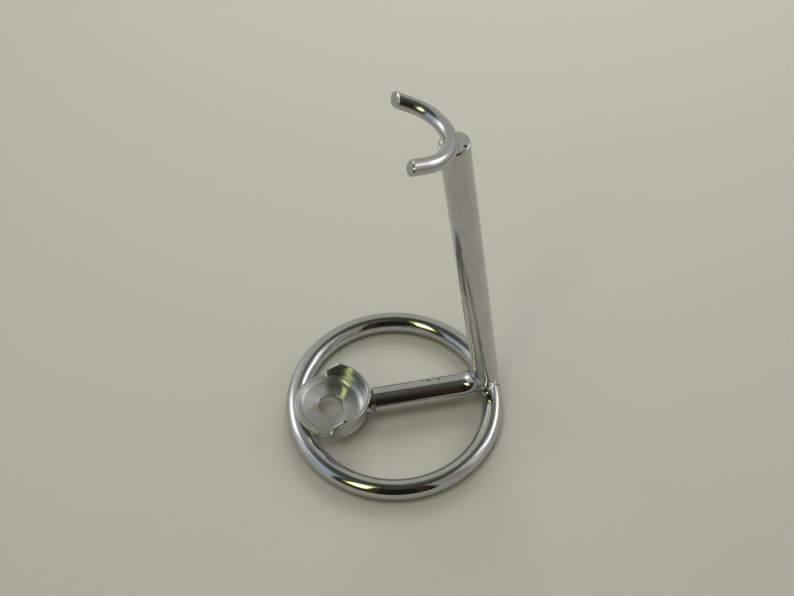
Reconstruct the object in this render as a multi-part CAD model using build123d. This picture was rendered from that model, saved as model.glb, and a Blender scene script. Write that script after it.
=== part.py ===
from build123d import *
import os
from math import asin, cos, degrees, radians, sin, tan

# Razor stand: a round bar ring on the table carries one bent bar, which is the low arm and the post.
# A cut-away drain cup on the arm takes the foot of the handle, and an open hook takes its neck.
# Millimetres. Origin: centre of the base ring, on the table. +Z up, +X toward the post.
# It is laid out about the plane Y = 0. The ring's seam is off it, and the cup and hook are slightly askew.

# Base ring
RING_BAR_R = 4.0
RING_R = 38.5                  # centre line of the bar
SEAM_ANGLE = -1.8              # degrees round the ring from +X
SEAM_GAP = 0.9                 # along the bar, filled by the weld
BEAD_PROUD = 0.15

# Stand rod: arm and post in one bar
ROD_R = 5.0
ARM_Z = 7.5                    # axis above the table
CORNER_X = 37.5                # where the axes of arm and post cross
POST_LEAN = 7.8                # degrees from upright, toward -X
POST_LENGTH = 138.9            # from the crossing to the end face
BEND_R = 10.0                  # centre line of the bend
POST_END_ROUND = 0.7
ARM_END_X = -9.0
ARM_CHAMFER = 0.8
SPIGOT_R = 3.5
SPIGOT_END_X = -11.2

# Cup, in its own frame: axis +Z, rim plane at Z = 0
CUP_RIM_CENTRE = (-23.35, 0.0, 18.2)
CUP_TILT = 10.0                # degrees, rim toward +X
CUP_TURN = -4.4                # degrees about its own axis
CUP_R = 14.0
CUP_WALL = 1.2
CUP_FLOOR_DEPTH = 9.5          # rim to the top of the floor
CUP_FLOOR = 2.0
DRAIN_R = 5.0
DRAIN_ROUND = 0.3
RIM_ROUND = 0.4
FLOOR_EDGE_ROUND = 0.8
INNER_FILLET = 2.4
SHOULDER_TOP_X = 2.7           # side view: the wall is full height beyond this
SHOULDER_X = -0.8              # and is cut down to a low lip in front of this
SHOULDER_DROP = 3.8
SHOULDER_ROUND = 0.8
LIP_HEIGHT = 1.0               # above the floor
BOSS_FACE_X = -10.2            # the arm meets the cup here
BOSS_ROOT_X = -15.0
WALL_BITE = 0.5                # how deep the boss runs into the wall

# Razor hook
WIRE_R = 2.5
HOOK_R = 15.0                  # centre line of the arc
HOOK_HALF_ARC = 69.5           # degrees each side of the back
HOOK_NEAR_LEG = 5.2            # straight, past the arc, to the middle of the end face on the -Y side
HOOK_FAR_LEG = 5.7             # and on the +Y side
HOOK_CUT_TURN = 12.0           # degrees: both ends were cut the same way, so neither is quite square
HOOK_CUT_RISE = 6.0
HOOK_SPARE = 4.0               # bar past the end face before it is cut
HOOK_TILT = 15.5               # degrees, open side up
HOOK_TURN = -5.0               # degrees about the vertical: it was brazed on slightly askew
HOOK_ROLL = -6.0               # degrees about its own middle line
HOOK_SINK = 0.3                # how deep the wire is let into the post's end
HOOK_OFFSET = 1.14             # from the post's axis toward the open side
HOOK_CHAMFER = 0.4

# Braze
FOOT_BRAZE_R = 3.7
FOOT_BRAZE_DEPTH = 5.0
JOINT_BRAZE_R = 4.6
JOINT_BRAZE_W = 0.7
HOOK_BRAZE_X = 4.4
HOOK_BRAZE_R = 4.3
HOOK_BRAZE_H = 1.1

CUTTER = 60.0                  # longer than anything that it cuts


def post_direction():
    lean = radians(POST_LEAN)
    return Vector(-sin(lean), 0, cos(lean))


def corner():
    return Vector(CORNER_X, 0, ARM_Z)


def post_end():
    return corner() + post_direction() * POST_LENGTH


def post_end_plane():
    return Plane(origin=post_end(), x_dir=(0, 1, 0), z_dir=post_direction())


def ring_bar(radius, arc, middle):
    """A round bar bent to the ring's radius, over an arc of so many degrees about an angle."""
    section = Plane.XZ * Pos(RING_R, RING_BAR_R) * Circle(radius)
    return Rot(0, 0, middle - arc / 2) * revolve(section, Axis.Z, arc)


def seam_arc():
    return degrees(2 * asin(SEAM_GAP / 2 / RING_R))


def make_base_ring():
    return ring_bar(RING_BAR_R, 360 - seam_arc(), SEAM_ANGLE + 180)


def make_ring_butt_weld():
    """A thin bead, a little proud of the bar but ground off level with the table."""
    bead = ring_bar(RING_BAR_R + BEAD_PROUD, seam_arc(), SEAM_ANGLE)
    above_table = Pos(0, 0, CUTTER / 2) * Box(2 * CUTTER, 2 * CUTTER, CUTTER)
    return bead & above_table


def make_bar():
    """The bent bar and its spigot, before anything is let into it."""
    path = FilletPolyline((ARM_END_X, 0, ARM_Z), corner(), post_end(), radius=BEND_R)
    bar = sweep(Plane(origin=path @ 0, z_dir=path % 0) * Circle(ROD_R), path=path)
    bar = chamfer(bar.edges().sort_by(Axis.X)[0], ARM_CHAMFER)
    bar = fillet(bar.edges().sort_by(Axis.Z)[-1], POST_END_ROUND)
    return bar + make_spigot()


def make_spigot():
    section = Plane(origin=(SPIGOT_END_X, 0, ARM_Z), z_dir=(1, 0, 0)) * Circle(SPIGOT_R)
    return extrude(section, ARM_END_X + ARM_CHAMFER - SPIGOT_END_X)


def cup_frame():
    return Location(CUP_RIM_CENTRE, (0, CUP_TILT, 0)) * Rot(0, 0, CUP_TURN)


def cup_floor():
    bottom = -CUP_FLOOR_DEPTH - CUP_FLOOR
    outline = make_face(
        Polyline(
            (DRAIN_R, bottom), (CUP_R, bottom),
            (CUP_R, -CUP_FLOOR_DEPTH), (DRAIN_R, -CUP_FLOOR_DEPTH), close=True,
        )
    )
    outer = outline.vertices().group_by(Axis.X)[-1]
    outline = fillet(outer, FLOOR_EDGE_ROUND)
    mouth = outline.vertices().group_by(Axis.X)[0].sort_by(Axis.Y)[-1]
    outline = fillet(mouth, DRAIN_ROUND)
    return revolve(Plane.XZ * outline, Axis.Z)


def cup_wall():
    inner = CUP_R - CUP_WALL
    root = -CUP_FLOOR_DEPTH - CUP_FLOOR + FLOOR_EDGE_ROUND
    toe = inner - 2 * INNER_FILLET
    outline = make_face(
        Polyline(
            (toe, root), (CUP_R, root), (CUP_R, 0), (inner, 0),
            (inner, -CUP_FLOOR_DEPTH), (toe, -CUP_FLOOR_DEPTH), close=True,
        )
    )
    rim = outline.vertices().group_by(Axis.Y)[-1]
    outline = fillet(rim, RIM_ROUND)
    inside = outline.vertices().filter_by(lambda v: abs(v.X - inner) < 0.01 and v.Y < -INNER_FILLET)
    outline = fillet(inside, INNER_FILLET)
    return revolve(Plane.XZ * outline, Axis.Z)


def cup_notch():
    """The opening as seen from the side, cut right across the wall."""
    lip = LIP_HEIGHT - CUP_FLOOR_DEPTH
    outline = make_face(
        Polyline(
            (SHOULDER_TOP_X, CUTTER), (SHOULDER_TOP_X, 0), (SHOULDER_X, -SHOULDER_DROP),
            (SHOULDER_X, lip), (-CUTTER, lip), (-CUTTER, CUTTER), close=True,
        )
    )
    corners = outline.vertices().filter_by(lambda v: abs(v.X) < CUP_R and abs(v.Y) < CUP_FLOOR_DEPTH)
    outline = fillet(corners, SHOULDER_ROUND)
    return extrude(Plane.XZ * outline, CUTTER, both=True)


def cup_boss():
    """A short stub of bar size that gives the arm a flat face to meet."""
    section = Plane(origin=(BOSS_ROOT_X, 0, ARM_Z), z_dir=(1, 0, 0)) * Circle(ROD_R)
    stub = extrude(section, BOSS_FACE_X - BOSS_ROOT_X)
    return stub - cup_frame() * Cylinder(CUP_R - WALL_BITE, CUTTER)


def make_cup():
    body = cup_frame() * (cup_floor() + (cup_wall() - cup_notch()))
    return body + cup_boss() - make_spigot()


def hook_frame():
    """Centre of the hook's arc, with the hook's back on +X and its plane on XY."""
    across = Vector(cos(radians(POST_LEAN)), 0, sin(radians(POST_LEAN)))
    back = post_end() + post_direction() * (WIRE_R - HOOK_SINK) - across * HOOK_OFFSET
    turned = Rot(0, 0, HOOK_TURN) * Rot(0, HOOK_TILT, 0) * Rot(HOOK_ROLL, 0, 0)
    return Location(back) * turned * Pos(-HOOK_R, 0, 0)


def hook_end_cut(middle):
    """What is taken off past an end face, whose middle is given."""
    turn, rise = radians(HOOK_CUT_TURN), radians(HOOK_CUT_RISE)
    outward = Vector(-cos(turn) * cos(rise), -sin(turn) * cos(rise), sin(rise))
    width = 4 * WIRE_R
    return Plane(origin=middle, z_dir=outward) * Pos(0, 0, HOOK_SPARE) * Box(width, width, 2 * HOOK_SPARE)


def make_razor_hook():
    arc = CenterArc((0, 0), HOOK_R, -HOOK_HALF_ARC, 2 * HOOK_HALF_ARC)
    near_end = arc @ 0 - (arc % 0) * HOOK_NEAR_LEG
    far_end = arc @ 1 + (arc % 1) * HOOK_FAR_LEG
    near = Line(near_end - (arc % 0) * HOOK_SPARE, arc @ 0)
    far = Line(arc @ 1, far_end + (arc % 1) * HOOK_SPARE)
    path = Wire([near, arc, far])
    wire = sweep(Plane(origin=path @ 0, z_dir=path % 0) * Circle(WIRE_R), path=path)
    wire = wire - hook_end_cut(near_end) - hook_end_cut(far_end)
    ends = wire.faces().filter_by(GeomType.PLANE).edges()
    return hook_frame() * chamfer(ends, HOOK_CHAMFER)


def make_foot_braze():
    """Braze between the outside of the bend and the inside of the ring."""
    half_turn = radians(90 - POST_LEAN) / 2
    bend_centre = Vector(CORNER_X - BEND_R / tan(half_turn), 0, ARM_Z + BEND_R)
    ring_centre = Vector(RING_R, 0, RING_BAR_R)
    toward_ring = (ring_centre - bend_centre).normalized()
    contact = ring_centre - toward_ring * RING_BAR_R
    return Plane(origin=contact, z_dir=toward_ring) * Cylinder(FOOT_BRAZE_R, FOOT_BRAZE_DEPTH)


def make_cup_joint_braze():
    """A small fillet round the spigot, on the boss's face."""
    outline = make_face(
        Polyline(
            (BOSS_FACE_X, SPIGOT_R), (BOSS_FACE_X, JOINT_BRAZE_R),
            (BOSS_FACE_X + JOINT_BRAZE_W, SPIGOT_R), close=True,
        )
    )
    return Pos(0, 0, ARM_Z) * revolve(outline, Axis.X)


def make_hook_braze():
    """A pool of braze under the wire, on the post's end."""
    pool = extrude(Circle(HOOK_BRAZE_R) & Rectangle(2 * HOOK_BRAZE_R, HOOK_BRAZE_X), HOOK_BRAZE_H)
    pool = chamfer(pool.edges().group_by(Axis.Z)[-1], HOOK_BRAZE_H / 2)
    return post_end_plane() * Pos(0, HOOK_OFFSET, -HOOK_SINK) * pool


base_ring = make_base_ring()
whole_ring = ring_bar(RING_BAR_R, 360, SEAM_ANGLE)
razor_hook = make_razor_hook()
stand_rod = make_bar() - whole_ring - razor_hook
ring_butt_weld = make_ring_butt_weld() - stand_rod
cup = make_cup()
foot_braze = make_foot_braze() - whole_ring - ring_butt_weld - stand_rod
cup_joint_braze = make_cup_joint_braze() - cup
hook_braze = make_hook_braze() - stand_rod - razor_hook

parts = {
    "base_ring": base_ring,
    "ring_butt_weld": ring_butt_weld,
    "stand_rod": stand_rod,
    "foot_braze": foot_braze,
    "cup": cup,
    "cup_joint_braze": cup_joint_braze,
    "razor_hook": razor_hook,
    "hook_braze": hook_braze,
}

os.makedirs("parts", exist_ok=True)
for name, shape in parts.items():
    shape.label = name
    export_step(shape, f"parts/{name}.step")
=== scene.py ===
from math import acos, asin, atan, cos, degrees, pi, radians, sin, sqrt, tan

import bmesh
import bpy
from mathutils import Matrix, Vector


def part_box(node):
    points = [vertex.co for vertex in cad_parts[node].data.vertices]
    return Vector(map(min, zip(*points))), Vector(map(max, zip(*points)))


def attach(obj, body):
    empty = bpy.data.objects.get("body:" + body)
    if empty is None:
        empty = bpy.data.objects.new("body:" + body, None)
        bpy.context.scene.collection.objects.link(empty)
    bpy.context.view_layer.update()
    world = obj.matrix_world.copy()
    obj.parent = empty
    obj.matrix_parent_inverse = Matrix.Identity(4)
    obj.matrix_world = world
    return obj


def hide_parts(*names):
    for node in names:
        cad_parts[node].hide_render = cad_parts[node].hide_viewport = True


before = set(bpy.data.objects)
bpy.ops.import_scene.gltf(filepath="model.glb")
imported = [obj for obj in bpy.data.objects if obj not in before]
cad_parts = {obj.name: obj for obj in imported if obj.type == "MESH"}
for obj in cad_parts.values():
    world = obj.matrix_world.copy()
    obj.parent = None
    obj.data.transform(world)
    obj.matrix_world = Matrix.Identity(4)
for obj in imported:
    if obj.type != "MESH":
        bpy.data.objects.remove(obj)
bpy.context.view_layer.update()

# The looks of the chromed razor stand. Metres, in the CAD model's frame: the origin is the centre of
# the base ring on the table, +Z is up and +X is toward the post. Each CAD node is replaced by a finer mesh
# of the same shape.

MM = 0.001
ALONG, ACROSS, UP = Vector((1, 0, 0)), Vector((0, 1, 0)), Vector((0, 0, 1))

# ---------------------------------------------------------------- sizes, as the CAD model has them

RING_LOW, RING_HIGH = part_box("base_ring")
RING_BAR_R = (RING_HIGH.z - RING_LOW.z) / 2
RING_R = (RING_HIGH.y - RING_LOW.y) / 2 - RING_BAR_R
SEAM_ANGLE = radians(-1.8)
SEAM_GAP = 0.9 * MM
BEAD_PROUD = 0.15 * MM
BEAD_FLATNESS = 4                # power of the bead's swell: 2 would be a round crown
SEAM_EDGE = 0.22 * MM            # how far the bar's ends are rounded off beside the bead
SEAM_CRACK = 0.22 * MM           # an open crack that the bead leaves on its near side
SEAM_CRACK_DEPTH = 0.9 * MM

ROD_R = 5.0 * MM
ARM_Z = 7.5 * MM
CORNER_X = 37.5 * MM
POST_LEAN = radians(7.8)
POST_LENGTH = 138.9 * MM
BEND_R = 10.0 * MM
POST_END_ROUND = 0.7 * MM
ARM_END_X = -9.0 * MM
ARM_CHAMFER = 0.8 * MM
SPIGOT_R = 3.5 * MM
SPIGOT_END_X = -11.2 * MM
SPIGOT_CORE_R = 0.98 * SPIGOT_R  # where the groove's braze ends, just inside the spigot

CUP_RIM_CENTRE = Vector((-23.35, 0.0, 18.2)) * MM
CUP_TILT = radians(10.0)
CUP_TURN = radians(-4.4)
CUP_R = 14.0 * MM
CUP_WALL = 1.2 * MM
CUP_FLOOR_DEPTH = 9.5 * MM
CUP_FLOOR = 2.0 * MM
DRAIN_R = 5.0 * MM
DRAIN_ROUND = 0.3 * MM
RIM_ROUND = 0.4 * MM
FLOOR_EDGE_ROUND = 0.8 * MM
INNER_FILLET = 2.4 * MM
SHOULDER_TOP_X = 2.7 * MM
SHOULDER_X = -0.8 * MM
SHOULDER_DROP = 3.8 * MM
SHOULDER_ROUND = 0.8 * MM
LIP_HEIGHT = 1.0 * MM
LIP_ROUND = 0.3 * MM
BOSS_FACE_X = -10.2 * MM
BOSS_ROOT_X = -15.0 * MM
WALL_BITE = 0.5 * MM              # how deep the boss runs into the wall
BOSS_EDGE = 0.3 * MM

WIRE_R = 2.5 * MM
HOOK_R = 15.0 * MM
HOOK_HALF_ARC = radians(69.5)
HOOK_NEAR_LEG = 5.2 * MM
HOOK_FAR_LEG = 5.7 * MM
HOOK_CUT_TURN = radians(12.0)
HOOK_CUT_RISE = radians(6.0)
HOOK_TILT = radians(15.5)
HOOK_TURN = radians(-5.0)
HOOK_ROLL = radians(-6.0)
HOOK_SINK = 0.3 * MM
HOOK_OFFSET = 1.14 * MM
HOOK_CHAMFER = 0.4 * MM

FOOT_FILLET = 1.3 * MM           # radius of the concave braze at the foot of the post
HOOK_FILLET = 0.55 * MM          # and under the hook
JOINT_BRAZE_R = 4.6 * MM
JOINT_BRAZE_W = 0.7 * MM

EDGE_SOFTENING = 0.07 * MM       # no edge under plating is truly sharp
SHARP_ANGLE = radians(28)
MERGE_DISTANCE = 0.001 * MM      # corners nearer than this are one

AROUND = 96                      # faces round a bar
HOOK_AROUND = 80
FINE_STEP = 0.5 * MM             # length of a face along a bend
RING_STEP = 0.8 * MM
HOOK_STEP = 0.4 * MM
STRAIGHT_STEP = 4.0 * MM
BEAD_STEPS = 8
BRAZE_STEPS = 8                  # faces across a fillet of braze
BRAZE_AROUND = 120
END_STEPS = 6                    # faces along the post's rounded end
SOFT_SEGMENTS = 3                # faces across a softened edge
LEAST_GIRTH_R = 1.25 * MM        # keeps the scratches' width on thin sections
BRAZE_BITE = 0.02 * MM           # how far a fillet's hidden root lies inside the bars

# ---------------------------------------------------------------- mesh helpers


def smooth_step(value, low, high):
    """0 below a range, 1 above it and a soft rise between."""
    share = min(max((value - low) / (high - low), 0), 1)
    return share * share * (3 - 2 * share)


def mesh_object(name, corners, faces, uvs):
    """A mesh in the scene. uvs holds one list of (u, v) for each face, in metres."""
    mesh = bpy.data.meshes.new(name)
    mesh.from_pydata(corners, [], faces)
    layer = mesh.uv_layers.new(name="UVMap")
    flat = [value for face in uvs for uv in face for value in uv]
    layer.data.foreach_set("uv", flat)
    piece = bpy.data.objects.new(name, mesh)
    bpy.context.scene.collection.objects.link(piece)
    return piece


def clean(piece):
    """Joins doubled corners, turns every face outward and marks the sharp edges."""
    mesh = piece.data
    work = bmesh.new()
    work.from_mesh(mesh)
    bmesh.ops.remove_doubles(work, verts=work.verts, dist=MERGE_DISTANCE)
    bmesh.ops.recalc_face_normals(work, faces=work.faces)
    work.to_mesh(mesh)
    work.free()
    mesh.shade_smooth()
    mesh.set_sharp_from_angle(angle=SHARP_ANGLE)
    return piece


def soften_edges(piece):
    """Rounds every sharp edge a little, without changing the mesh itself."""
    bevel = piece.modifiers.new("edge softening", "BEVEL")
    bevel.limit_method = "ANGLE"
    bevel.angle_limit = SHARP_ANGLE
    bevel.width = EDGE_SOFTENING
    bevel.segments = SOFT_SEGMENTS
    bevel.harden_normals = True
    weld = piece.modifiers.new("no empty faces", "WELD")
    weld.merge_threshold = MERGE_DISTANCE
    weighted = piece.modifiers.new("flat faces stay flat", "WEIGHTED_NORMAL")
    weighted.keep_sharp = True


def ring_loft(name, rings, lengths, widths, closed=False):
    """A skin over rings of corners. lengths is how far along each ring lies, widths its girth."""
    count = len(rings[0])
    corners = [corner for ring in rings for corner in ring]
    faces, uvs = [], []
    pairs = [(i, i + 1) for i in range(len(rings) - 1)]
    if closed:
        pairs.append((len(rings) - 1, 0))
    for a, b in pairs:
        for k in range(count):
            after = (k + 1) % count
            faces.append((a * count + k, a * count + after, b * count + after, b * count + k))
            low, high = k / count, (k + 1) / count
            end = lengths[b] if b else lengths[a] + (lengths[a] - lengths[a - 1])
            uvs.append([
                (lengths[a], low * widths[a]), (lengths[a], high * widths[a]),
                (end, high * widths[b]), (end, low * widths[b]),
            ])
    if not closed:
        for ring in (0, len(rings) - 1):
            cap = [ring * count + k for k in range(count)]
            faces.append(tuple(cap))
            uvs.append([(corners[k].x, corners[k].y) for k in cap])
    return mesh_object(name, corners, faces, uvs)


def circle(centre, direction, normal, radius, around):
    """Corners round a bar. The first lies toward the normal."""
    side = normal.cross(direction).normalized()
    turns = [2 * pi * k / around for k in range(around)]
    return [centre + (normal * cos(turn) + side * sin(turn)) * radius for turn in turns]


def tube(name, stations, normal, closed=False):
    """A skin over round sections. A station is (centre, direction, radius). normal lies in every section."""
    rings, lengths, widths = [], [], []
    travelled = 0.0
    for centre, direction, radius in stations:
        ring = circle(centre, direction, normal, radius, AROUND)
        if rings:
            travelled += (ring[0] - rings[-1][0]).length
        rings.append(ring)
        lengths.append(travelled)
        widths.append(2 * pi * max(radius, LEAST_GIRTH_R))
    return ring_loft(name, rings, lengths, widths, closed)


def straight(start, end, radius):
    """Round sections along a straight line."""
    direction = (end - start).normalized()
    count = max(1, round((end - start).length / STRAIGHT_STEP))
    return [(start.lerp(end, i / count), direction, radius) for i in range(count + 1)]


def bend(centre, start, normal, angle, radius, step):
    """Round sections along an arc that starts at a point and turns about a normal."""
    spoke = start - centre
    count = max(2, round(spoke.length * abs(angle) / step))
    found = []
    for i in range(count + 1):
        arm = Matrix.Rotation(angle * i / count, 3, normal) @ spoke
        direction = normal.cross(arm).normalized() * (1 if angle > 0 else -1)
        found.append((centre + arm, direction, radius))
    return found


def rounded_end(centre, direction, radius, round_r):
    """Sections that close a bar with a rounded edge. centre is on the end face."""
    found = []
    for i in range(END_STEPS + 1):
        turn = pi / 2 * i / END_STEPS
        back = round_r * (1 - sin(turn))
        found.append((centre - direction * back, direction, radius - round_r * (1 - cos(turn))))
    return found


# ---------------------------------------------------------------- places


def post_direction():
    """Up along the post, which leans toward the cup."""
    return Vector((-sin(POST_LEAN), 0, cos(POST_LEAN)))


def post_side():
    """Square to the post, in the plane of its lean, away from the cup."""
    return Vector((cos(POST_LEAN), 0, sin(POST_LEAN)))


def corner():
    """Where the axes of arm and post meet."""
    return Vector((CORNER_X, 0, ARM_Z))


def post_end():
    """Middle of the post's end face."""
    return corner() + post_direction() * POST_LENGTH


def bend_centre():
    """Centre of the arc that the rod's axis follows in its bend."""
    half_turn = (pi / 2 - POST_LEAN) / 2
    return Vector((CORNER_X - BEND_R / tan(half_turn), 0, ARM_Z + BEND_R))


def cup_frame():
    """Middle of the cup's rim, with the cup's axis on Z and the notch at -X."""
    tilt = Matrix.Rotation(CUP_TILT, 4, "Y")
    turn = Matrix.Rotation(CUP_TURN, 4, "Z")
    return Matrix.Translation(CUP_RIM_CENTRE) @ tilt @ turn


def hook_frame():
    """Centre of the hook's arc, with the hook's back on +X and its plane on XY."""
    back = post_end() + post_direction() * (WIRE_R - HOOK_SINK) - post_side() * HOOK_OFFSET
    turned = (
        Matrix.Rotation(HOOK_TURN, 4, "Z") @ Matrix.Rotation(HOOK_TILT, 4, "Y")
        @ Matrix.Rotation(HOOK_ROLL, 4, "X")
    )
    return Matrix.Translation(back) @ turned @ Matrix.Translation((-HOOK_R, 0, 0))


# ---------------------------------------------------------------- ring


def ring_stations(start, sweep, radius, step):
    """Round sections along part of the base ring."""
    centre = Vector((0, 0, RING_BAR_R))
    first = centre + Vector((cos(start), sin(start), 0)) * RING_R
    return bend(centre, first, UP, sweep, radius, step)


def make_base_ring():
    """The ring's bar, open at the seam, with both ends rounded off."""
    gap = SEAM_GAP / RING_R
    edge = SEAM_EDGE / RING_R
    stations = ring_stations(SEAM_ANGLE + gap / 2 + edge, 2 * pi - gap - 2 * edge, RING_BAR_R, RING_STEP)
    first = ring_stations(SEAM_ANGLE + gap / 2, edge, RING_BAR_R, SEAM_EDGE)[0]
    last = ring_stations(SEAM_ANGLE - gap / 2 - edge, edge, RING_BAR_R, SEAM_EDGE)[-1]
    ends = [(centre, direction, RING_BAR_R - SEAM_EDGE) for centre, direction, radius in (first, last)]
    stations = [ends[0]] + stations + [ends[1]]
    return clean(tube("base_ring_bar", stations, UP))


def make_weld():
    """The bead that closes the ring, proud of the bar and ground level with the table below."""
    gap = SEAM_GAP / RING_R
    crack = SEAM_CRACK / RING_R
    start = SEAM_ANGLE - gap / 2
    crown = ring_stations(start + crack, gap - crack, RING_BAR_R, SEAM_GAP / BEAD_STEPS)
    stations = ring_stations(start, crack, RING_BAR_R - SEAM_CRACK_DEPTH, SEAM_CRACK)
    for i, (centre, direction, radius) in enumerate(crown):
        share = 2 * i / (len(crown) - 1) - 1
        swell = (BEAD_PROUD + SEAM_EDGE) * (1 - share ** BEAD_FLATNESS) - SEAM_EDGE
        stations.append((centre, direction, radius + swell))
    piece = clean(tube("ring_weld_bead", stations, UP))
    for vertex in piece.data.vertices:
        vertex.co.z = max(vertex.co.z, 0)
    return piece


# ---------------------------------------------------------------- arm and post


def make_rod():
    """Spigot, chamfered arm, bend and leaning post, in one bar."""
    spigot_end = Vector((SPIGOT_END_X, 0, ARM_Z))
    arm_end = Vector((ARM_END_X, 0, ARM_Z))
    arm_start = arm_end + ALONG * ARM_CHAMFER
    centre = bend_centre()
    bend_start = Vector((centre.x, 0, ARM_Z))
    stations = straight(spigot_end, arm_end, SPIGOT_R)
    stations.append((arm_end, ALONG, ROD_R - ARM_CHAMFER))
    stations += straight(arm_start, bend_start, ROD_R)
    stations += bend(centre, bend_start, ACROSS, -(pi / 2 - POST_LEAN), ROD_R, FINE_STEP)[1:]
    top = post_end() - post_direction() * POST_END_ROUND
    stations += straight(stations[-1][0], top, ROD_R)[1:]
    stations += rounded_end(post_end(), post_direction(), ROD_R, POST_END_ROUND)[1:]
    return clean(tube("stand_bar", stations, ACROSS))


# ---------------------------------------------------------------- cup


def arc_points(centre, radius, start, end, count):
    """Points (r, z) along an arc, both ends included. Angles from +r toward +z."""
    found = []
    for i in range(count + 1):
        turn = start + (end - start) * i / count
        found.append((centre[0] + radius * cos(turn), centre[1] + radius * sin(turn)))
    return found


def line_points(start, end, count):
    """Points (r, z) along a line, without its ends."""
    found = []
    for i in range(1, count):
        share = i / count
        found.append((start[0] + (end[0] - start[0]) * share, start[1] + (end[1] - start[1]) * share))
    return found


INNER_R = CUP_R - CUP_WALL
BOTTOM_Z = -CUP_FLOOR_DEPTH - CUP_FLOOR
LOW_EDGE_Z = -CUP_FLOOR_DEPTH - FLOOR_EDGE_ROUND
FILLET_TOP_Z = INNER_FILLET - CUP_FLOOR_DEPTH
FILLET_TOE_R = INNER_R - INNER_FILLET
LIP_Z = LIP_HEIGHT - CUP_FLOOR_DEPTH
DROP_FOOT_Z = LIP_Z + SHOULDER_ROUND       # where the shoulder's straight drop ends

# The cup's sections are radial at its back and front, and straight across it along the notch between.
SECTION_STEP = radians(1.6)
FLATTEN_FROM, FLATTEN_BY = radians(45), radians(68)
RADIAL_AGAIN = radians(130)
ALWAYS_RADIAL_R = 0.6 * FILLET_TOE_R       # inside this, where the floor is flat

# How many faces each stretch of the cup's section has. Every section has the same, so that they join up.
LOW_RISER, HIGH_RISER, ROUND, HIGH_INSIDE, LOW_INSIDE = 3, 8, 5, 14, 10
FLOOR_FACES, UNDERSIDE_FACES = 12, 8
SHOULDER_SECTIONS = 8
CLOSING_LENGTH = 1 * MM                    # in the UV map, of the face that closes a section


def fillet_angle(z):
    """Angle on the inner fillet, below the wall, at a height."""
    return asin(min(1, (FILLET_TOP_Z - z) / INNER_FILLET))


def fillet_point(angle):
    """(r, z) on the inner fillet at an angle below the wall."""
    return (FILLET_TOE_R + INNER_FILLET * cos(angle), FILLET_TOP_Z - INNER_FILLET * sin(angle))


def blend_points(start, middle, end, count):
    """Points (r, z) on a curve that leaves and arrives along the lines to its middle point."""
    found = []
    for i in range(count + 1):
        t = i / count
        found.append(
            tuple(
                a * (1 - t) ** 2 + 2 * b * t * (1 - t) + c * t * t
                for a, b, c in zip(start, middle, end)
            )
        )
    return found


def wall_outline(top):
    """The section from the floor's lower edge over the wall's top to the toe of the inner fillet."""
    foot_angle = fillet_angle(DROP_FOOT_Z - LIP_ROUND)
    foot = (CUP_R, LOW_EDGE_Z)
    if top > FILLET_TOP_Z:
        split = (CUP_R, DROP_FOOT_Z - LIP_ROUND)
        side = (CUP_R, top - RIM_ROUND)
        points = line_points(foot, split, LOW_RISER) + [split] + line_points(split, side, HIGH_RISER)
        points += arc_points((CUP_R - RIM_ROUND, top - RIM_ROUND), RIM_ROUND, 0, pi / 2, ROUND)
        points += arc_points((INNER_R + RIM_ROUND, top - RIM_ROUND), RIM_ROUND, pi / 2, pi, ROUND)
        half = HIGH_INSIDE // 2
        points += line_points((INNER_R, top - RIM_ROUND), (INNER_R, FILLET_TOP_Z), half)
        points += [fillet_point(foot_angle * i / half) for i in range(half)]
        inside = foot_angle
    else:
        side = (CUP_R, top - LIP_ROUND)
        inside = fillet_angle(top - LIP_ROUND)
        edge = fillet_point(fillet_angle(top))
        points = line_points(foot, side, LOW_RISER)
        outer = (CUP_R - LIP_ROUND, top)
        points += blend_points(side, (CUP_R, top), outer, HIGH_RISER + ROUND)
        inner = (edge[0] + LIP_ROUND, top)
        points += blend_points(inner, edge, fillet_point(inside), ROUND + HIGH_INSIDE)[:-1]
    for i in range(LOW_INSIDE + 1):
        points.append(fillet_point(inside + (pi / 2 - inside) * i / LOW_INSIDE))
    return points


def floor_outline():
    """The rest of the section: the floor, the drain hole and the underside, up to the low edge."""
    drain_top = (DRAIN_R + DRAIN_ROUND, -CUP_FLOOR_DEPTH)
    drain_foot = (DRAIN_R, BOTTOM_Z)
    outer_foot = (CUP_R - FLOOR_EDGE_ROUND, BOTTOM_Z)
    drain_centre = (drain_top[0], drain_top[1] - DRAIN_ROUND)
    edge_centre = (outer_foot[0], outer_foot[1] + FLOOR_EDGE_ROUND)
    points = line_points((FILLET_TOE_R, -CUP_FLOOR_DEPTH), drain_top, FLOOR_FACES)
    points += arc_points(drain_centre, DRAIN_ROUND, pi / 2, pi, ROUND)
    points += [drain_foot] + line_points(drain_foot, outer_foot, UNDERSIDE_FACES)
    points += arc_points(edge_centre, FLOOR_EDGE_ROUND, -pi / 2, 0, ROUND)
    return points


def notch_stations():
    """(x, height of the wall's top) down the shoulder to the drop, and from its foot to the lip."""
    slope = atan(SHOULDER_DROP / (SHOULDER_TOP_X - SHOULDER_X))
    top_run = SHOULDER_ROUND * tan(slope / 2)
    drop_run = SHOULDER_ROUND * tan((pi / 2 - slope) / 2)
    centre = (SHOULDER_TOP_X + top_run, -SHOULDER_ROUND)
    upper = arc_points(centre, SHOULDER_ROUND, pi / 2, pi / 2 + slope, ROUND)
    centre = (SHOULDER_X + SHOULDER_ROUND, -SHOULDER_DROP - drop_run)
    lower = arc_points(centre, SHOULDER_ROUND, pi / 2 + slope, pi, ROUND)
    centre = (SHOULDER_X - SHOULDER_ROUND, DROP_FOOT_Z)
    foot = arc_points(centre, SHOULDER_ROUND, 0, -pi / 2, ROUND)
    return upper + line_points(upper[-1], lower[0], SHOULDER_SECTIONS) + lower, foot


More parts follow.
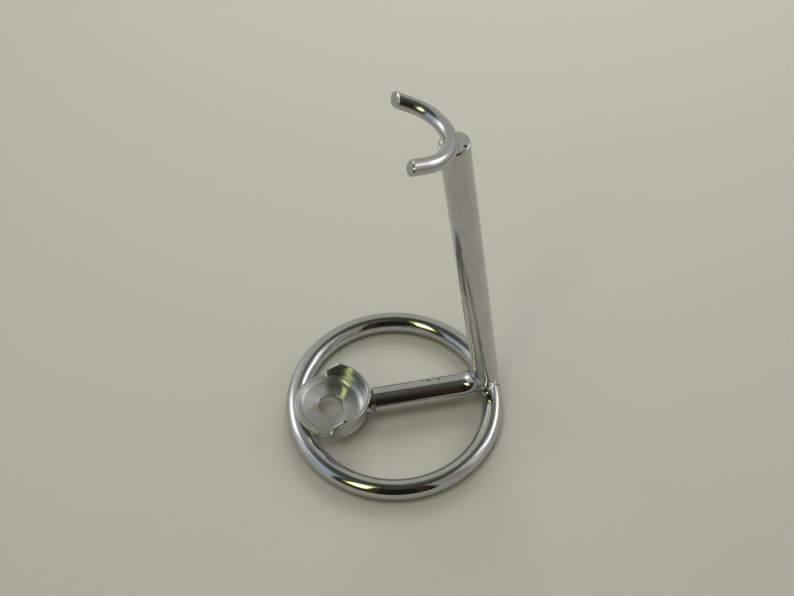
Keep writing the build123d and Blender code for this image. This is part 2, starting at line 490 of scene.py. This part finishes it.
def cup_section(angle, flatten, outline):
    """Corners of one section. flatten turns the radial cut into a cut straight across the cup."""
    x = CUP_R * cos(angle)
    side = 1 if angle <= pi else -1
    turn = angle if angle <= pi else 2 * pi - angle
    section = []
    for r, z in outline:
        across = acos(max(-1, min(1, x / r)))
        share = flatten * smooth_step(r, ALWAYS_RADIAL_R, FILLET_TOE_R)
        own = turn + (across - turn) * share
        section.append(Vector((r * cos(own), side * r * sin(own), z)))
    return section


def cup_half():
    """(angle, flatten, height of the top) of each section, from the back of the cup round to its front."""
    shoulder, foot = notch_stations()
    start = acos(shoulder[0][0] / CUP_R)
    count = round(start / SECTION_STEP)
    full = []
    for i in range(count):
        angle = start * i / count
        full.append((angle, smooth_step(angle, FLATTEN_FROM, FLATTEN_BY), 0))
    full += [(acos(x / CUP_R), 1, top) for x, top in shoulder]
    low = [(acos(x / CUP_R), 1, top) for x, top in foot]
    start = low[-1][0]
    count = round((pi - start) / SECTION_STEP)
    for i in range(1, count + 1):
        angle = start + (pi - start) * i / count
        low.append((angle, 1 - smooth_step(angle, start, RADIAL_AGAIN), LIP_Z))
    return full, low


def profile_lengths(outline):
    """How far along the section each of its points lies."""
    lengths = [0.0]
    for a, b in zip(outline, outline[1:]):
        lengths.append(lengths[-1] + (Vector(b) - Vector(a)).length)
    return lengths


def cup_stations():
    """(angle, flatten, height of the top) of each section all round, and which two end the tall wall."""
    full, low = cup_half()
    near = full + low
    far = [(2 * pi - angle, flatten, top) for angle, flatten, top in reversed(near[1:-1])]
    return near + far, (len(full) - 1, len(near) + len(low) - 2)


def make_cup_body():
    """One closed skin: sections all round the cup, with a flat end face on each end of the wall."""
    stations, end_faces = cup_stations()
    rest = floor_outline()
    outlines = [wall_outline(top) + rest for angle, flatten, top in stations]
    sections = [
        cup_section(angle, flatten, outline)
        for (angle, flatten, top), outline in zip(stations, outlines)
    ]
    count = len(sections[0])
    first_differing = LOW_RISER - 1
    last_differing = len(wall_outline(0)) - LOW_INSIDE - 1
    corners = [corner for section in sections for corner in section]
    turns = [angle for angle, flatten, top in stations] + [2 * pi]
    faces, uvs = [], []
    for a in range(len(sections)):
        b = (a + 1) % len(sections)
        lengths_a, lengths_b = profile_lengths(outlines[a]), profile_lengths(outlines[b])
        for k in range(count):
            if a in end_faces and first_differing <= k < last_differing:
                continue
            after = (k + 1) % count
            faces.append((a * count + k, b * count + k, b * count + after, a * count + after))
            end_a, end_b = lengths_a[k] + CLOSING_LENGTH, lengths_b[k] + CLOSING_LENGTH
            if after:
                end_a, end_b = lengths_a[after], lengths_b[after]
            uvs.append([
                (lengths_a[k], turns[a] * CUP_R), (lengths_b[k], turns[a + 1] * CUP_R),
                (end_b, turns[a + 1] * CUP_R), (end_a, turns[a] * CUP_R),
            ])
        if a in end_faces:
            loop = [a * count + k for k in range(first_differing, last_differing + 1)]
            loop += [b * count + k for k in range(last_differing - 1, first_differing, -1)]
            faces.append(tuple(loop))
            uvs.append([(corners[k].z, corners[k].y) for k in loop])
    return clean(mesh_object("drain_cup", corners, faces, uvs))


def wall_reach(point):
    """The x at which a line along the arm is inside the skin of the cup's wall."""
    local = cup_frame().inverted()
    start = local @ point
    way = local.to_3x3() @ ALONG
    square = way.x ** 2 + way.y ** 2
    half = start.x * way.x + start.y * way.y
    rest = start.x ** 2 + start.y ** 2 - (CUP_R - WALL_BITE) ** 2
    return point.x + (sqrt(half ** 2 - square * rest) - half) / square


def make_boss():
    """The stub that meets the arm, with the blind hole for the spigot, in world coordinates."""
    axis = UP * ARM_Z
    places = [
        (BOSS_ROOT_X, ROD_R), (BOSS_FACE_X - BOSS_EDGE, ROD_R), (BOSS_FACE_X, ROD_R - BOSS_EDGE),
        (BOSS_FACE_X, SPIGOT_R), (SPIGOT_END_X, SPIGOT_R),
    ]
    stations = [(axis + ALONG * x, ALONG, radius) for x, radius in places]
    piece = clean(tube("boss_tool", stations, ACROSS))
    for vertex in piece.data.vertices:
        if vertex.co.x < BOSS_ROOT_X + WALL_BITE:
            vertex.co.x = wall_reach(vertex.co)
    return piece


def join_solid(piece, tool, operation):
    """Applies a boolean with a tool, which is then removed."""
    cut = piece.modifiers.new("join", "BOOLEAN")
    cut.operation = operation
    cut.solver = "EXACT"
    cut.object = tool
    bpy.context.view_layer.update()
    graph = bpy.context.evaluated_depsgraph_get()
    made = bpy.data.meshes.new_from_object(piece.evaluated_get(graph))
    piece.modifiers.clear()
    piece.data = made
    bpy.data.objects.remove(tool)
    return clean(piece)


def make_cup():
    """The cup with its boss, as one solid."""
    body = make_cup_body()
    body.data.transform(cup_frame())
    return join_solid(body, make_boss(), "UNION")


def make_joint_braze():
    """The small concave ring of braze at the root of the groove between arm and cup."""
    axis = UP * ARM_Z
    stations = [(axis + ALONG * BOSS_FACE_X, ALONG, SPIGOT_CORE_R)]
    for i in range(BRAZE_STEPS + 1):
        turn = pi / 2 * i / BRAZE_STEPS
        x = BOSS_FACE_X + JOINT_BRAZE_W * (1 - cos(turn))
        radius = SPIGOT_R + (JOINT_BRAZE_R - SPIGOT_R) * (1 - sin(turn))
        stations.append((axis + ALONG * x, ALONG, radius))
    stations.append((axis + ALONG * (BOSS_FACE_X + JOINT_BRAZE_W), ALONG, SPIGOT_CORE_R))
    return clean(tube("cup_joint_fillet", stations, ACROSS, closed=True))


# ---------------------------------------------------------------- hook


def hook_cut():
    """The way that both of the hook's end faces look, in its own frame."""
    flat = cos(HOOK_CUT_RISE)
    return Vector((-cos(HOOK_CUT_TURN) * flat, -sin(HOOK_CUT_TURN) * flat, sin(HOOK_CUT_RISE)))


def hook_end(middle, outward):
    """Slanted rings that close a leg of the hook: the start of the chamfer and its edge on the end face."""
    cut = hook_cut()
    rings = []
    for back, radius in ((HOOK_CHAMFER, WIRE_R), (0, WIRE_R - HOOK_CHAMFER)):
        ring = []
        for spoke in circle(Vector(), outward, UP, radius, HOOK_AROUND):
            slide = -spoke.dot(cut) / outward.dot(cut) - back
            ring.append(middle + spoke + outward * slide)
        rings.append(ring)
    return rings


def make_hook():
    """An open C of round bar. Both its chamfered ends were cut the same way, not quite square."""
    start = Vector((HOOK_R * cos(HOOK_HALF_ARC), -HOOK_R * sin(HOOK_HALF_ARC), 0))
    arc = bend(Vector(), start, UP, 2 * HOOK_HALF_ARC, WIRE_R, HOOK_STEP)
    rings = [circle(centre, direction, UP, radius, HOOK_AROUND) for centre, direction, radius in arc]
    near_way, far_way = arc[0][1], arc[-1][1]
    near = hook_end(arc[0][0] - near_way * HOOK_NEAR_LEG, -near_way)
    far = hook_end(arc[-1][0] + far_way * HOOK_FAR_LEG, far_way)
    mirrored = [[ring[0]] + ring[:0:-1] for ring in near]
    rings = [mirrored[1], mirrored[0]] + rings + far
    lengths = [0.0]
    for before, after in zip(rings, rings[1:]):
        lengths.append(lengths[-1] + (after[0] - before[0]).length)
    piece = clean(ring_loft("neck_hook", rings, lengths, [2 * pi * WIRE_R] * len(rings)))
    piece.data.transform(hook_frame())
    return piece


# ---------------------------------------------------------------- braze fillets

SLOPE_STEP = 0.001 * MM
SOLVE_ATTEMPTS = 40
SOLVED = 1e-9                    # metres
NEARLY_PARALLEL = 1e-6
LONGEST_STEP = 1 * MM
BRAZE_UV_STEP, BRAZE_UV_GIRTH = 0.2, 4     # in radii of the fillet


def to_ring(point):
    """Distance from the ring bar's surface."""
    flat = Vector((point.x, point.y, 0)).length
    return Vector((flat - RING_R, point.z - RING_BAR_R)).length - RING_BAR_R


def to_rod(point):
    """Distance from the surface of the arm, bend or post, whichever is nearest."""
    centre = bend_centre()
    arm_reach = point.x - centre.x
    rise = post_direction()
    post_foot = centre + post_side() * BEND_R
    post_reach = (point - post_foot).dot(rise)
    if arm_reach < 0:
        return Vector((point.y, point.z - ARM_Z)).length - ROD_R
    if post_reach > 0:
        away = point - post_foot
        return (away - rise * post_reach).length - ROD_R
    radial = Vector((point.x - centre.x, point.z - centre.z)).length
    return Vector((radial - BEND_R, point.y)).length - ROD_R


def to_post_end(point):
    """Distance from the post's round-edged end, as a rounded cylinder."""
    away = point - post_end()
    height = away.dot(post_direction())
    radial = (away - post_direction() * height).length
    side = radial - (ROD_R - POST_END_ROUND)
    over = height + POST_END_ROUND
    outside = Vector((max(side, 0), max(over, 0))).length
    return outside + min(max(side, over), 0) - POST_END_ROUND


def to_wire(point):
    """Distance from the hook's bar."""
    local = hook_frame().inverted() @ point
    return Vector((Vector((local.x, local.y)).length - HOOK_R, local.z)).length - WIRE_R


def slope_of(distance, point):
    """Direction in which a distance grows."""
    gradient = Vector(
        [
            distance(point + axis * SLOPE_STEP) - distance(point - axis * SLOPE_STEP)
            for axis in (ALONG, ACROSS, UP)
        ]
    )
    return gradient.normalized()


def ball_centre(first, second, radius, origin, out, axis, guess):
    """The point of a half plane that is the same distance from two surfaces. guess is (out, up)."""
    u, v = guess
    for attempt in range(SOLVE_ATTEMPTS):
        point = origin + out * u + axis * v
        miss_a = first(point) - radius
        miss_b = second(point) - radius
        if abs(miss_a) + abs(miss_b) < SOLVED:
            break
        grad_a = slope_of(first, point)
        grad_b = slope_of(second, point)
        a, b = grad_a.dot(out), grad_a.dot(axis)
        c, d = grad_b.dot(out), grad_b.dot(axis)
        determinant = a * d - b * c
        if abs(determinant) < NEARLY_PARALLEL:
            break
        du = (miss_a * d - miss_b * b) / determinant
        dv = (miss_b * a - miss_a * c) / determinant
        limit = min(1, LONGEST_STEP / max(abs(du), abs(dv), SOLVED))
        u -= du * limit
        v -= dv * limit
    return u, v


def fillet_ring(name, first, second, radius, origin, axis, side, guess):
    """The concave skin that a ball leaves as it rolls round where two surfaces meet, closed behind."""
    other = axis.cross(side)
    rings, lengths = [], []
    ball, root = guess, guess
    for k in range(BRAZE_AROUND):
        turn = 2 * pi * k / BRAZE_AROUND
        out = side * cos(turn) + other * sin(turn)
        ball = ball_centre(first, second, radius, origin, out, axis, ball)
        root = ball_centre(first, second, -BRAZE_BITE, origin, out, axis, root)
        centre = origin + out * ball[0] + axis * ball[1]
        start = -slope_of(first, centre)
        end = -slope_of(second, centre)
        ring = []
        for i in range(BRAZE_STEPS + 1):
            ring.append(centre + start.slerp(end, i / BRAZE_STEPS) * radius)
        ring.append(origin + out * root[0] + axis * root[1])
        rings.append(ring)
        lengths.append(k * radius * BRAZE_UV_STEP)
    widths = [radius * BRAZE_UV_GIRTH] * BRAZE_AROUND
    return clean(ring_loft(name, rings, lengths, widths, closed=True))


def make_foot_braze():
    """The braze between the ring and the outside of the bend."""
    toward_ring = (Vector((RING_R, 0, RING_BAR_R)) - bend_centre()).normalized()
    origin = bend_centre() + toward_ring * (BEND_R + ROD_R)
    return fillet_ring(
        "foot_fillet", to_ring, to_rod, FOOT_FILLET, origin,
        axis=toward_ring, side=ACROSS, guess=(3.5 * MM, 0),
    )


def make_hook_braze():
    """The braze under the hook, all round the post's end."""
    origin = post_end() - post_side() * HOOK_OFFSET
    return fillet_ring(
        "hook_fillet", to_wire, to_post_end, HOOK_FILLET, origin,
        axis=post_direction(), side=post_side(), guess=(2.2 * MM, 0.5 * MM),
    )


# ---------------------------------------------------------------- materials

# Scales are in features per metre along each axis, and pairs of levels are noise values.
HAZE_SCALE, CUP_HAZE_SCALE = (170,) * 3, (260,) * 3
HAZY, DULLED = (0.38, 0.72), (0.35, 0.7)                  # levels that tint and that dull
SCRATCH_SCALE, SCORED = (90, 3200, 1), (0.6, 0.78)        # long on the bar, fine round it
CHROME_TINTS = ((0.555, 0.555, 0.565), (0.515, 0.51, 0.525))    # clear and hazy
# painted shade: the braze deep in the groove between arm and cup is tinted dark for the shade there
GROOVE_SHADE_TINTS = ((0.26, 0.245, 0.2), (0.07, 0.062, 0.05))
BRAZE_LUMPS = {"ripple": 1100, "ripple_depth": 0.03 * MM, "scratch_depth": 0.001 * MM}

COARSE_RINGS, COARSE_RING_DEPTH = (700, 6, 0), 0.022 * MM    # turning marks, across them and along
FINE_RINGS, FINE_RING_DEPTH = (1900, 10, 0), 0.006 * MM
RING_SHADE, RING_SHARE = (0.35, 0.65), 0.5
TOOL_RING_COLOUR = (0.46, 0.46, 0.45)
CUP_ANISOTROPY = 0.8
SATIN_ROUGHNESS, WALL_ROUGHNESS = 0.37, 0.05
CUP_HAZE_ROUGHNESS = (-0.01, 0.03)
SATIN_FLOOR_LIGHT_COLOUR, SATIN_FLOOR_LIGHT_SHARE = (0.71, 0.715, 0.71), 0.5         # painted light: the cup's satin floor is painted paler than the polished wall
SATIN_TO_POLISH = (1.5 * MM, 3.4 * MM)                       # heights over the floor

# the dark of the pits, also used for the painted shade under the arm's joint
PIT_AND_SHADE_COLOUR = (0.04, 0.038, 0.035)
PIT_DEPTH, PIT_ROUGHNESS = 0.1 * MM, 0.3
ARM_PIT_TURN = radians(112)               # round the arm, from its near side over the top
ARM_PITS, ARM_PIT_R = (14.0 * MM, 18.0 * MM), 0.7 * MM
POST_END_PIT, POST_END_PIT_R = (3.0 * MM, -2.4 * MM), 0.75 * MM
RIM_PIT_PLACE, RIM_PIT_R = Vector((3.0 * MM, -13.6 * MM, 0)), 1.0 * MM
# painted shade: a ragged dark blotch on the cup under its joint with the arm
UNDER_JOINT_SHADE_PLACE = cup_frame().inverted() @ Vector((-10.4 * MM, -4.7 * MM, 5.2 * MM))
UNDER_JOINT_SHADE_R, UNDER_JOINT_SHADE_RAG = 2.4 * MM, 0.6
STAIN_COLOUR, STAIN_SHARE, STAIN_ROUGHNESS = (0.42, 0.33, 0.19), 0.6, 0.2
STAIN_PLACE = Vector((-6.3 * MM, -0.9 * MM, -CUP_FLOOR_DEPTH))
STAIN_R, STAIN_RAG = 2.6 * MM, 0.7
RAG_SCALE, RAG_LEVELS = (450,) * 3, (0.2, 0.8)
SPOT_CORE = 0.3                           # how much of a spot's radius has its full strength


def node_tree(name):
    """A new material, its nodes and its shader."""
    material = bpy.data.materials.new(name)
    material.use_nodes = True
    return material, material.node_tree, material.node_tree.nodes["Principled BSDF"]


def coordinates(tree, kind):
    """A kind of texture coordinates. A piece's own, Object and UV, are in metres."""
    return tree.nodes.new("ShaderNodeTexCoord").outputs[kind]


def noise(tree, vector, scale, detail):
    """Noise with a scale in features per metre, one for each axis of the coordinates."""
    stretch = tree.nodes.new("ShaderNodeVectorMath")
    stretch.operation = "MULTIPLY"
    stretch.inputs[1].default_value = scale
    tree.links.new(vector, stretch.inputs[0])
    cloud = tree.nodes.new("ShaderNodeTexNoise")
    cloud.inputs["Scale"].default_value = 1.0
    cloud.inputs["Detail"].default_value = detail
    tree.links.new(stretch.outputs[0], cloud.inputs["Vector"])
    return cloud.outputs["Fac"]


def remap(tree, value, low, high, to_low, to_high):
    """Takes a value from one range to another, with soft ends."""
    node = tree.nodes.new("ShaderNodeMapRange")
    node.interpolation_type = "SMOOTHSTEP"
    for socket, amount in zip(node.inputs[1:5], (low, high, to_low, to_high)):
        socket.default_value = amount
    tree.links.new(value, node.inputs["Value"])
    return node.outputs["Result"]


def combine(tree, operation, *values):
    """A sum on numbers or sockets."""
    node = tree.nodes.new("ShaderNodeMath")
    node.operation = operation
    for socket, value in zip(node.inputs, values):
        if isinstance(value, (int, float)):
            socket.default_value = value
        else:
            tree.links.new(value, socket)
    return node.outputs[0]


def blend(tree, share, under, over):
    """One colour over another. Either is a colour or a socket."""
    node = tree.nodes.new("ShaderNodeMix")
    node.data_type = "RGBA"
    tree.links.new(share, node.inputs[0])
    for socket, colour in zip(node.inputs[6:8], (under, over)):
        if isinstance(colour, tuple):
            socket.default_value = (*colour, 1)
        else:
            tree.links.new(colour, socket)
    return node.outputs[2]


def spot(tree, centre, radius, raggedness=0.0):
    """1 at a place on the piece, falling to 0 at a radius round it."""
    place = coordinates(tree, "Object")
    node = tree.nodes.new("ShaderNodeVectorMath")
    node.operation = "DISTANCE"
    node.inputs[1].default_value = centre
    tree.links.new(place, node.inputs[0])
    away = node.outputs["Value"]
    if raggedness:
        rag = remap(tree, noise(tree, place, RAG_SCALE, detail=4), *RAG_LEVELS, -raggedness, raggedness)
        away = combine(tree, "ADD", away, combine(tree, "MULTIPLY", rag, radius))
    return remap(tree, away, radius * SPOT_CORE, radius, 1, 0)


def bumps(tree, height, depth, under=None):
    """The shading of a relief of some depth, on top of another if there is one."""
    node = tree.nodes.new("ShaderNodeBump")
    node.inputs["Distance"].default_value = depth
    tree.links.new(height, node.inputs["Height"])
    if under:
        tree.links.new(under, node.inputs["Normal"])
    return node.outputs["Normal"]


def plated(name, smooth, dull, ripple, ripple_depth, scratch_depth, pits=(), tints=CHROME_TINTS):
    """Chrome plate: hazy patches, slightly wavy polish, fine scratches along the bar, and pin-hole pits."""
    material, tree, shader = node_tree(name)
    shader.inputs["Metallic"].default_value = 1.0
    place = coordinates(tree, "Object")
    haze = noise(tree, place, HAZE_SCALE, detail=5)
    scratches = noise(tree, coordinates(tree, "UV"), SCRATCH_SCALE, detail=2)
    hazy = remap(tree, haze, *HAZY, 0, 1)
    scored = remap(tree, scratches, *SCORED, 0, 1)
    rough = remap(tree, haze, *DULLED, smooth, dull)
    rough = combine(tree, "ADD", rough, combine(tree, "MULTIPLY", scored, dull))
    colour = blend(tree, hazy, *tints)
    normal = bumps(tree, noise(tree, place, (ripple,) * 3, detail=2), ripple_depth)
    normal = bumps(tree, scored, -scratch_depth, normal)
    for centre, radius in pits:
        dark_spot = spot(tree, centre, radius)
        colour = blend(tree, dark_spot, colour, PIT_AND_SHADE_COLOUR)
        rough = combine(tree, "ADD", rough, combine(tree, "MULTIPLY", dark_spot, PIT_ROUGHNESS))
        normal = bumps(tree, dark_spot, -PIT_DEPTH, normal)
    tree.links.new(colour, shader.inputs["Base Color"])
    tree.links.new(rough, shader.inputs["Roughness"])
    tree.links.new(normal, shader.inputs["Normal"])
    return material


def bar_chrome():
    """The bar's plate, with the two pits on top of the arm and one on the post's end."""
    pits = []
    for x in ARM_PITS:
        place = Vector((x, -ROD_R * cos(ARM_PIT_TURN), ARM_Z + ROD_R * sin(ARM_PIT_TURN)))
        pits.append((place, ARM_PIT_R))
    place = post_end() + post_side() * POST_END_PIT[0] + ACROSS * POST_END_PIT[1]
    pits.append((place, POST_END_PIT_R))
    return plated(
        "chrome on bar", smooth=0.05, dull=0.1, ripple=240, ripple_depth=0.012 * MM,
        scratch_depth=0.002 * MM, pits=pits,
    )


def wire_chrome():
    """The hook's plate, a little duller than the bar's."""
    return plated(
        "chrome on hook", smooth=0.1, dull=0.17, ripple=300, ripple_depth=0.012 * MM,
        scratch_depth=0.002 * MM,
    )


def braze_chrome():
    """Plate over braze metal, which is lumpy and takes less polish."""
    return plated("chrome on braze", smooth=0.1, dull=0.2, **BRAZE_LUMPS)


def shaded_groove_braze():
    """The braze at the root of the groove, tinted dark: painted shade, for the shade deep in the groove
    between arm and cup.
    """
    return plated("painted shade in the groove", smooth=0.2, dull=0.35, tints=GROOVE_SHADE_TINTS, **BRAZE_LUMPS)


def height_over_cup_floor(tree):
    """How far a place on the cup is above its floor, along the cup's axis."""
    axis = cup_frame().to_3x3() @ UP
    floor_middle = cup_frame() @ Vector((0, 0, -CUP_FLOOR_DEPTH))
    node = tree.nodes.new("ShaderNodeVectorMath")
    node.operation = "DOT_PRODUCT"
    node.inputs[1].default_value = axis
    tree.links.new(coordinates(tree, "Object"), node.inputs[0])
    return combine(tree, "SUBTRACT", node.outputs["Value"], floor_middle.dot(axis))


def turned_chrome():
    """Chrome over a turned cup: tool rings all round, a satin floor painted paler as painted light, a rust
    stain, painted shade under the arm's joint and a pit.
    """
    material, tree, shader = node_tree("chrome on turned cup")
    shader.inputs["Metallic"].default_value = 1.0
    shader.inputs["Anisotropic"].default_value = CUP_ANISOTROPY
    along = coordinates(tree, "UV")
    haze = noise(tree, coordinates(tree, "Object"), CUP_HAZE_SCALE, detail=5)
    coarse_rings = noise(tree, along, COARSE_RINGS, detail=1)
    fine_rings = noise(tree, along, FINE_RINGS, detail=1)
    colour = blend(tree, remap(tree, haze, *DULLED, 0, 1), *CHROME_TINTS)
    colour = blend(tree, remap(tree, coarse_rings, *RING_SHADE, 0, RING_SHARE), colour, TOOL_RING_COLOUR)
    height = height_over_cup_floor(tree)
    # painted light: below the polished wall the floor is blended to a paler tint; its satin roughness
    # follows below
    painted_floor_light = remap(tree, height, *SATIN_TO_POLISH, SATIN_FLOOR_LIGHT_SHARE, 0)
    colour = blend(tree, painted_floor_light, colour, SATIN_FLOOR_LIGHT_COLOUR)
    stain = spot(tree, cup_frame() @ STAIN_PLACE, STAIN_R, STAIN_RAG)
    colour = blend(tree, combine(tree, "MULTIPLY", stain, STAIN_SHARE), colour, STAIN_COLOUR)
    # dark spots: a pit at the notch's top corner, and painted shade in a ragged blotch under the arm's joint
    for centre, radius, raggedness in ((RIM_PIT_PLACE, RIM_PIT_R, 0), (UNDER_JOINT_SHADE_PLACE, UNDER_JOINT_SHADE_R, UNDER_JOINT_SHADE_RAG)):
        dark_spot = spot(tree, cup_frame() @ centre, radius, raggedness)
        colour = blend(tree, dark_spot, colour, PIT_AND_SHADE_COLOUR)
    rough = remap(tree, height, *SATIN_TO_POLISH, SATIN_ROUGHNESS, WALL_ROUGHNESS)
    rough = combine(tree, "ADD", rough, remap(tree, haze, *DULLED, *CUP_HAZE_ROUGHNESS))
    rough = combine(tree, "ADD", rough, combine(tree, "MULTIPLY", stain, STAIN_ROUGHNESS))
    tangent = tree.nodes.new("ShaderNodeTangent")
    tangent.direction_type = "UV_MAP"
    tangent.uv_map = "UVMap"
    tree.links.new(tangent.outputs[0], shader.inputs["Tangent"])
    normal = bumps(tree, coarse_rings, COARSE_RING_DEPTH)
    normal = bumps(tree, fine_rings, FINE_RING_DEPTH, normal)
    tree.links.new(colour, shader.inputs["Base Color"])
    tree.links.new(rough, shader.inputs["Roughness"])
    tree.links.new(normal, shader.inputs["Normal"])
    return material


# ---------------------------------------------------------------- pieces


def place_piece(piece, node, material):
    """Finishes a piece and puts it in the place of one CAD node, whose own mesh is hidden."""
    soften_edges(piece)
    piece.data.materials.clear()
    piece.data.materials.append(material)
    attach(piece, "root")
    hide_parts(node)


BAR_FINISH = bar_chrome()
BRAZE_FINISH = braze_chrome()

place_piece(make_base_ring(), "base_ring", BAR_FINISH)
place_piece(make_weld(), "ring_butt_weld", BRAZE_FINISH)
place_piece(make_rod(), "stand_rod", BAR_FINISH)
place_piece(make_foot_braze(), "foot_braze", BRAZE_FINISH)
place_piece(make_cup(), "cup", turned_chrome())
# the groove's braze is tinted dark as painted shade
place_piece(make_joint_braze(), "cup_joint_braze", shaded_groove_braze())
place_piece(make_hook(), "razor_hook", wire_chrome())
place_piece(make_hook_braze(), "hook_braze", BRAZE_FINISH)

# ---------------------------------------------------------------- floor, room and camera

FLOOR_COLOUR = (0.352, 0.347, 0.306)
FLOOR_ROUGHNESS, FLOOR_SPECULAR = 0.9, 0.1
FLOOR_R, FLOOR_SIDES = 4.0, 64


def make_floor():
    """A plain disc, wide enough to fill every view."""
    turns = [2 * pi * k / FLOOR_SIDES for k in range(FLOOR_SIDES)]
    corners = [Vector((cos(turn), sin(turn), 0)) * FLOOR_R for turn in turns]
    floor = mesh_object("floor", corners, [tuple(range(FLOOR_SIDES))], [[(c.x, c.y) for c in corners]])
    material, tree, shader = node_tree("floor")
    shader.inputs["Base Color"].default_value = (*FLOOR_COLOUR, 1)
    shader.inputs["Roughness"].default_value = FLOOR_ROUGHNESS
    shader.inputs["Specular IOR Level"].default_value = FLOOR_SPECULAR
    floor.data.materials.append(material)


# Soft light panels and dark cards round the stand. Azimuth 0 is +Y and 90 is +X, in degrees.
# (azimuth, half width, elevation, half height, softness, colour), painted in this order.
ROOM_BASE = (0.45, 0.45, 0.41)
CARDS = [
    (3, 40, 30, 40, 0.4, (0.47, 0.475, 0.42)),
    (-60, 38, 25, 27, 0.7, (0.7, 0.72, 0.71)),
    (-54, 14, 31, 12, 1.0, (2.3, 2.3, 2.15)),
    (-104, 16, 28, 32, 0.5, (0.42, 0.51, 0.58)),
    (84, 42, 27, 22, 0.9, (0.56, 0.55, 0.54)),
    (81, 20, 31, 8, 0.9, (3.0, 2.9, 2.9)),
    (99, 9, 42, 9, 0.9, (1.9, 1.85, 1.85)),
    (115, 12, 36, 24, 1.0, (0.66, 0.65, 0.63)),
    (138, 16, 32, 32, 0.8, (0.33, 0.32, 0.3)),
    (182, 27, 36, 60, 0.3, (0.016, 0.015, 0.013)),
    (166, 5, 42, 34, 1.0, (0.055, 0.032, 0.024)),
    (0, 720, 90, 27, 0.6, (0.07, 0.074, 0.056)),
    (-85, 38, 66, 15, 0.8, (0.1, 0.11, 0.105)),
    (48, 22, 68, 16, 0.8, (0.12, 0.125, 0.1)),
    (-135, 20, 40, 42, 0.3, (0.04, 0.038, 0.02)),
    (-134, 10, 52, 21, 0.7, (1.2, 1.35, 0.34)),
    (-135, 8, 49, 12, 0.9, (4.5, 4.7, 2.3)),
]
CARD_SQUARENESS = 4                 # 2 would make a card an ellipse
BACKDROP = (0.2, 0.197, 0.17)


def make_room():
    """A world that is a plain backdrop to the camera and light panels to everything else."""
    world = bpy.data.worlds.new("room")
    bpy.context.scene.world = world
    world.use_nodes = True
    tree = world.node_tree
    tree.nodes.clear()
    split = tree.nodes.new("ShaderNodeSeparateXYZ")
    tree.links.new(coordinates(tree, "Generated"), split.inputs[0])
    east, north, rise = split.outputs
    azimuth = combine(tree, "MULTIPLY", combine(tree, "ARCTAN2", east, north), degrees(1))
    elevation = combine(tree, "MULTIPLY", combine(tree, "ARCSINE", rise), degrees(1))
    colour = ROOM_BASE
    for centre, half_width, height, half_height, softness, light in CARDS:
        turned = combine(tree, "WRAP", combine(tree, "SUBTRACT", azimuth, centre), 180, -180)
        across = combine(tree, "DIVIDE", turned, half_width)
        up = combine(tree, "DIVIDE", combine(tree, "SUBTRACT", elevation, height), half_height)
        sizes = [combine(tree, "ABSOLUTE", part) for part in (across, up)]
        powers = [combine(tree, "POWER", size, CARD_SQUARENESS) for size in sizes]
        reach = combine(tree, "POWER", combine(tree, "ADD", *powers), 1 / CARD_SQUARENESS)
        inside = combine(tree, "SUBTRACT", 1, reach)
        colour = blend(tree, remap(tree, inside, -softness / 2, softness / 2, 0, 1), colour, light)
    seen = tree.nodes.new("ShaderNodeLightPath")
    colour = blend(tree, seen.outputs["Is Camera Ray"], colour, BACKDROP)
    light = tree.nodes.new("ShaderNodeBackground")
    tree.links.new(colour, light.inputs["Color"])
    out = tree.nodes.new("ShaderNodeOutputWorld")
    tree.links.new(light.outputs[0], out.inputs["Surface"])


# Broad soft lights over the cloth, which only matt things show. (name, place, aim, size, watts)
SOFT_LIGHTS = [
    ("back light", (0.22, 0.6, 0.5), (0.1, 0.3, 0), 0.45, 3.9),
    ("top light", (-0.12, -0.06, 0.95), (0, 0.08, 0), 0.5, 4.0),
]


def make_soft_lights():
    """Area lights that no reflection shows."""
    for name, place, aim, size, power in SOFT_LIGHTS:
        data = bpy.data.lights.new(name, "AREA")
        data.size = size
        data.energy = power
        lamp = bpy.data.objects.new(name, data)
        bpy.context.scene.collection.objects.link(lamp)
        lamp.location = place
        lamp.rotation_euler = (Vector(aim) - Vector(place)).to_track_quat("-Z", "Y").to_euler()
        lamp.visible_glossy = False


CAMERA_PLACE = Vector((-45.10, -245.09, 405.41)) * MM
CAMERA_DOWN = 0.9289             # radians below level
CAMERA_YAW = 0.1864              # from +Y toward +X
CAMERA_ROLL = -0.0027
CAMERA_LENS, CAMERA_SENSOR = 54.32, 36     # in millimetres
CAMERA_NEAR = 10 * MM


def make_camera():
    """A camera that looks down at the stand from in front and a little to the left."""
    data = bpy.data.cameras.new("camera")
    data.sensor_width = CAMERA_SENSOR
    data.lens = CAMERA_LENS
    data.clip_start = CAMERA_NEAR
    camera = bpy.data.objects.new("camera", data)
    bpy.context.scene.collection.objects.link(camera)
    forward = Vector(
        (sin(CAMERA_YAW) * cos(CAMERA_DOWN), cos(CAMERA_YAW) * cos(CAMERA_DOWN), -sin(CAMERA_DOWN))
    )
    level = Vector((cos(CAMERA_YAW), -sin(CAMERA_YAW), 0))
    upward = level.cross(forward)
    right = level * cos(CAMERA_ROLL) + upward * sin(CAMERA_ROLL)
    upward = right.cross(forward)
    turned = Matrix((right, upward, -forward)).transposed()
    camera.matrix_world = Matrix.Translation(CAMERA_PLACE) @ turned.to_4x4()
    bpy.context.scene.camera = camera


make_floor()
make_room()
make_soft_lights()
make_camera()
bpy.context.scene.view_settings.view_transform = "Standard"
